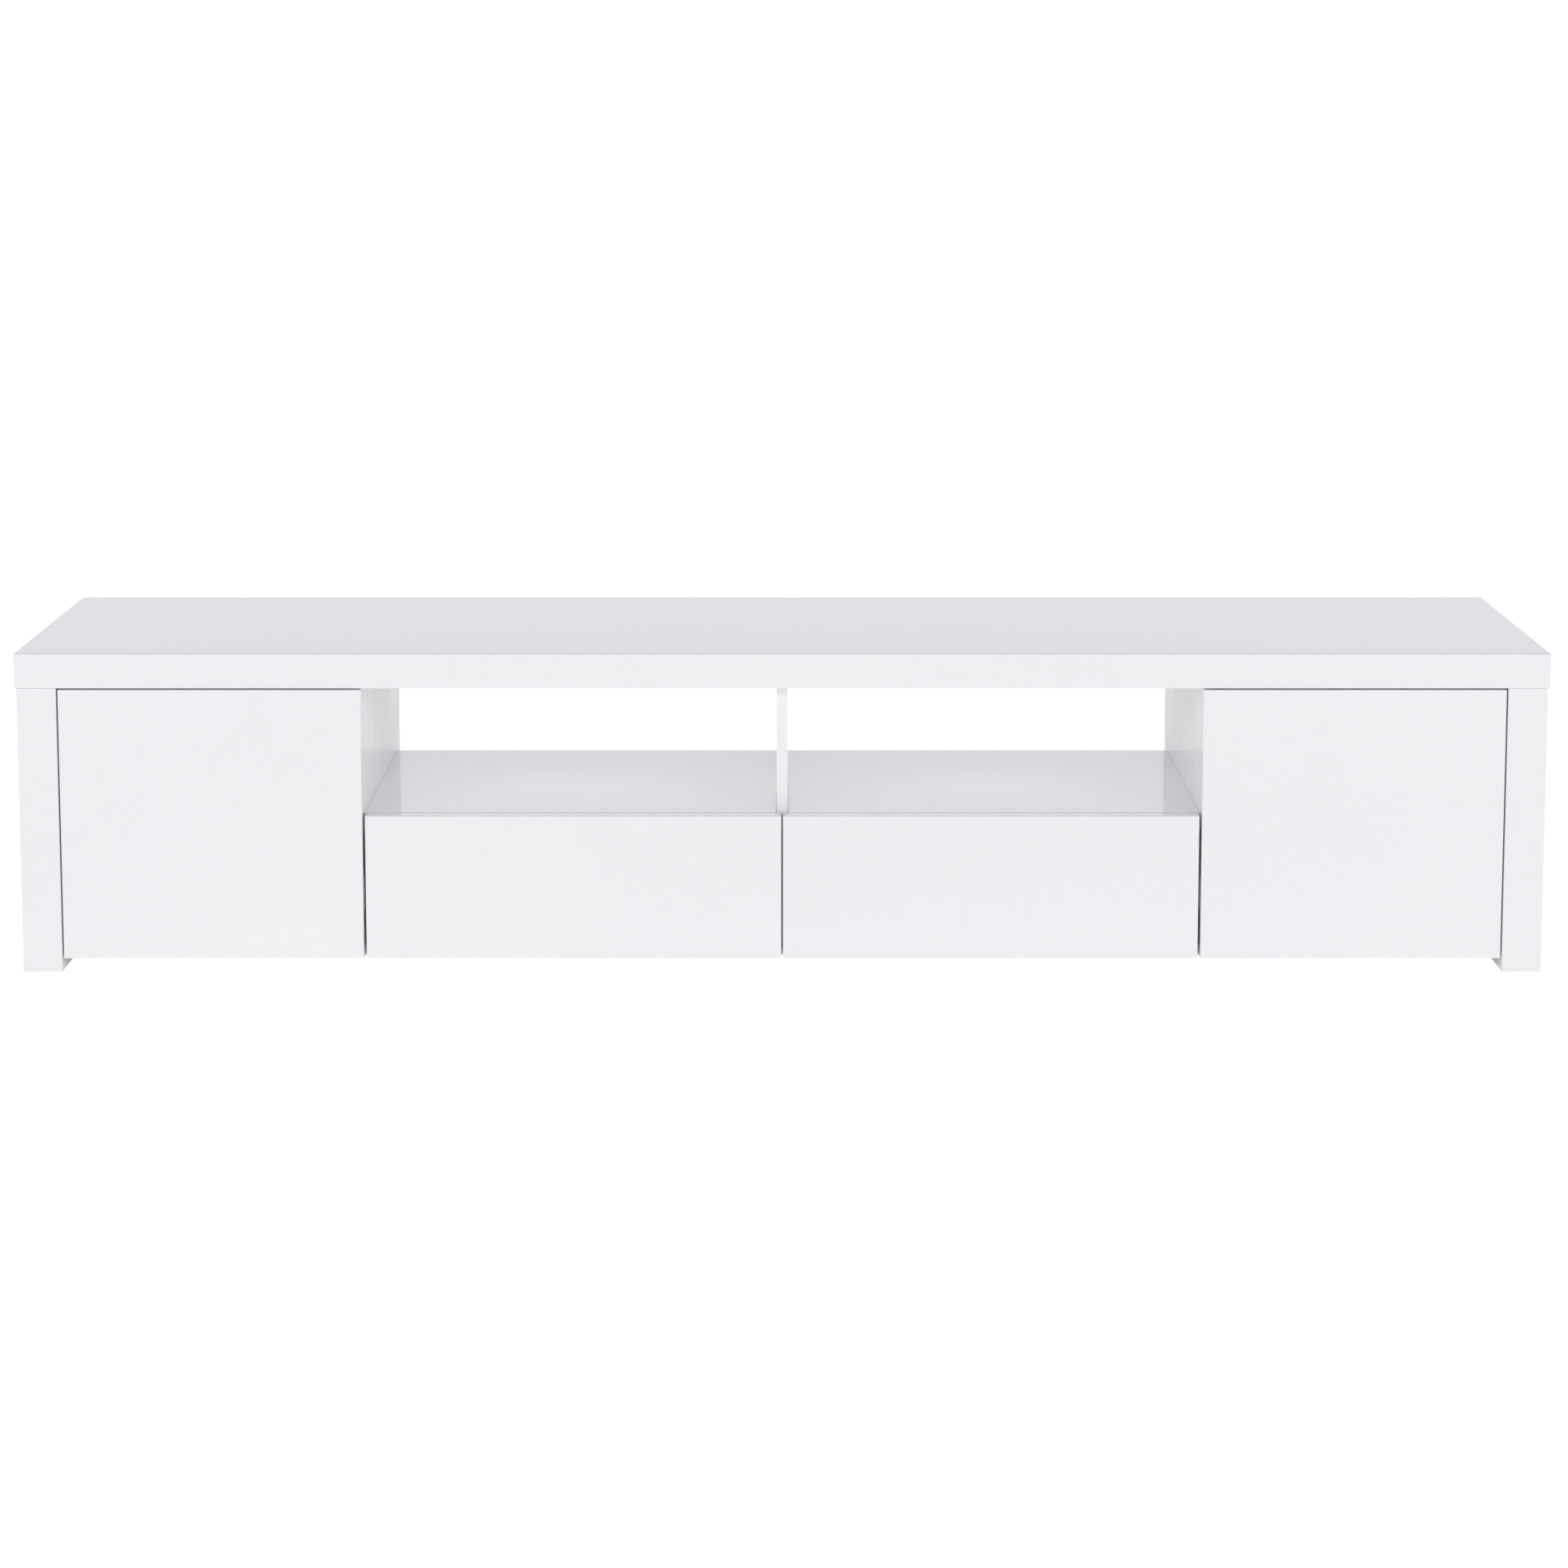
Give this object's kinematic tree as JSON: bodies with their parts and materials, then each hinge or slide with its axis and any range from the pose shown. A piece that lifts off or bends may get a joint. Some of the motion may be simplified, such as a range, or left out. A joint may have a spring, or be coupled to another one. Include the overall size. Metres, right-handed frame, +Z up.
{
  "type": "tv stand with doors",
  "caption": "Low gloss-white television stand: thick top and side panels, side-hung doors at the ends, push-open drawers in the middle and an open niche above them.",
  "frame": {"origin": "on the floor, under the middle of the stand's box", "axes": "+X along the stand's length to the right seen from the front, -Y out of the front, +Z up"},
  "size_m": [2, 0.4, 0.426],
  "materials": {
    "gloss_lacquer": "high-gloss white lacquer on MDF, mirror-like",
    "melamine": "satin white melamine board",
    "hardboard": "thin white-faced hardboard, matt",
    "nickel_steel": "nickel-plated steel, satin",
    "zinc_steel": "zinc-plated steel",
    "latch_plastic": "light grey nylon",
    "plunger_plastic": "dark grey nylon"
  },
  "bodies": {
    "cabinet": {"top_slab": "gloss_lacquer", "bottom_panel": "melamine", "niche_shelf": "gloss_lacquer", "niche_divider": "gloss_lacquer", "drawer_divider": "melamine", "drawer_bay_back": "hardboard", "left_side_panel": "gloss_lacquer", "left_partition": "gloss_lacquer", "left_inner_shelf": "melamine", "left_bay_back": "hardboard", "right_side_panel": "gloss_lacquer", "right_partition": "gloss_lacquer", "right_inner_shelf": "melamine", "right_bay_back": "hardboard", "left_upper_hinge_arm": "zinc_steel", "left_lower_hinge_arm": "zinc_steel", "left_outer_slide_outer_rail": "zinc_steel", "left_inner_slide_outer_rail": "zinc_steel", "left_door_latch_body": "latch_plastic", "left_drawer_latch_body": "latch_plastic", "right_upper_hinge_arm": "zinc_steel", "right_lower_hinge_arm": "zinc_steel", "right_outer_slide_outer_rail": "zinc_steel", "right_inner_slide_outer_rail": "zinc_steel", "right_door_latch_body": "latch_plastic", "right_drawer_latch_body": "latch_plastic"},
    "left_door": {"left_door": "gloss_lacquer", "left_upper_hinge_cup": "nickel_steel", "left_lower_hinge_cup": "nickel_steel"},
    "left_hinge_links": {"left_upper_hinge_link": "nickel_steel", "left_lower_hinge_link": "nickel_steel"},
    "left_drawer": {"left_drawer_front": "gloss_lacquer", "left_drawer_outer_side": "melamine", "left_drawer_inner_side": "melamine", "left_drawer_rear": "melamine", "left_drawer_bottom": "hardboard", "left_outer_slide_inner_rail": "zinc_steel", "left_inner_slide_inner_rail": "zinc_steel"},
    "left_slide_middles": {"left_outer_slide_middle_rail": "zinc_steel", "left_inner_slide_middle_rail": "zinc_steel"},
    "left_door_plunger": {"left_door_latch_plunger": "plunger_plastic"},
    "left_drawer_plunger": {"left_drawer_latch_plunger": "plunger_plastic"},
    "right_door": {"right_door": "gloss_lacquer", "right_upper_hinge_cup": "nickel_steel", "right_lower_hinge_cup": "nickel_steel"},
    "right_hinge_links": {"right_upper_hinge_link": "nickel_steel", "right_lower_hinge_link": "nickel_steel"},
    "right_drawer": {"right_drawer_front": "gloss_lacquer", "right_drawer_outer_side": "melamine", "right_drawer_inner_side": "melamine", "right_drawer_rear": "melamine", "right_drawer_bottom": "hardboard", "right_outer_slide_inner_rail": "zinc_steel", "right_inner_slide_inner_rail": "zinc_steel"},
    "right_slide_middles": {"right_outer_slide_middle_rail": "zinc_steel", "right_inner_slide_middle_rail": "zinc_steel"},
    "right_door_plunger": {"right_door_latch_plunger": "plunger_plastic"},
    "right_drawer_plunger": {"right_drawer_latch_plunger": "plunger_plastic"}
  },
  "joints": [
    {"name": "left_door_hinge", "type": "hinge", "parent": "cabinet", "child": "left_door", "pos_m": [-0.944, -0.198, 0.2], "axis": [0, 0, -1], "range_deg": [0, 95]},
    {"name": "left_hinge_link_pivot", "type": "hinge", "parent": "left_door", "child": "left_hinge_links", "pos_m": [-0.934, -0.189, 0.2], "axis": [0, 0, 1], "range_deg": [0, 95]},
    {"name": "left_door_latch_travel", "type": "slide", "parent": "cabinet", "child": "left_door_plunger", "axis": [0, -1, 0], "range_m": [0, 0.02]},
    {"name": "left_drawer_slide", "type": "slide", "parent": "cabinet", "child": "left_drawer", "axis": [0, -1, 0], "range_m": [0, 0.28]},
    {"name": "left_slide_middle_travel", "type": "slide", "parent": "cabinet", "child": "left_slide_middles", "axis": [0, -1, 0], "range_m": [0, 0.14]},
    {"name": "left_drawer_latch_travel", "type": "slide", "parent": "cabinet", "child": "left_drawer_plunger", "axis": [0, -1, 0], "range_m": [0, 0.02]},
    {"name": "right_door_hinge", "type": "hinge", "parent": "cabinet", "child": "right_door", "pos_m": [0.944, -0.198, 0.2], "axis": [0, 0, 1], "range_deg": [0, 95]},
    {"name": "right_hinge_link_pivot", "type": "hinge", "parent": "right_door", "child": "right_hinge_links", "pos_m": [0.934, -0.189, 0.2], "axis": [0, 0, -1], "range_deg": [0, 95]},
    {"name": "right_door_latch_travel", "type": "slide", "parent": "cabinet", "child": "right_door_plunger", "axis": [0, -1, 0], "range_m": [0, 0.02]},
    {"name": "right_drawer_slide", "type": "slide", "parent": "cabinet", "child": "right_drawer", "axis": [0, -1, 0], "range_m": [0, 0.28]},
    {"name": "right_slide_middle_travel", "type": "slide", "parent": "cabinet", "child": "right_slide_middles", "axis": [0, -1, 0], "range_m": [0, 0.14]},
    {"name": "right_drawer_latch_travel", "type": "slide", "parent": "cabinet", "child": "right_drawer_plunger", "axis": [0, -1, 0], "range_m": [0, 0.02]}
  ],
  "couplings": [
    {"joint": "left_hinge_link_pivot", "follows": "left_door_hinge", "ratio": 1},
    {"joint": "left_door_latch_travel", "follows": "left_door_hinge", "m_per_rad": 0.01205},
    {"joint": "left_slide_middle_travel", "follows": "left_drawer_slide", "ratio": 0.5},
    {"joint": "left_drawer_latch_travel", "follows": "left_drawer_slide", "ratio": 0.071421},
    {"joint": "right_hinge_link_pivot", "follows": "right_door_hinge", "ratio": 1},
    {"joint": "right_door_latch_travel", "follows": "right_door_hinge", "m_per_rad": 0.01205},
    {"joint": "right_slide_middle_travel", "follows": "right_drawer_slide", "ratio": 0.5},
    {"joint": "right_drawer_latch_travel", "follows": "right_drawer_slide", "ratio": 0.071421}
  ]
}
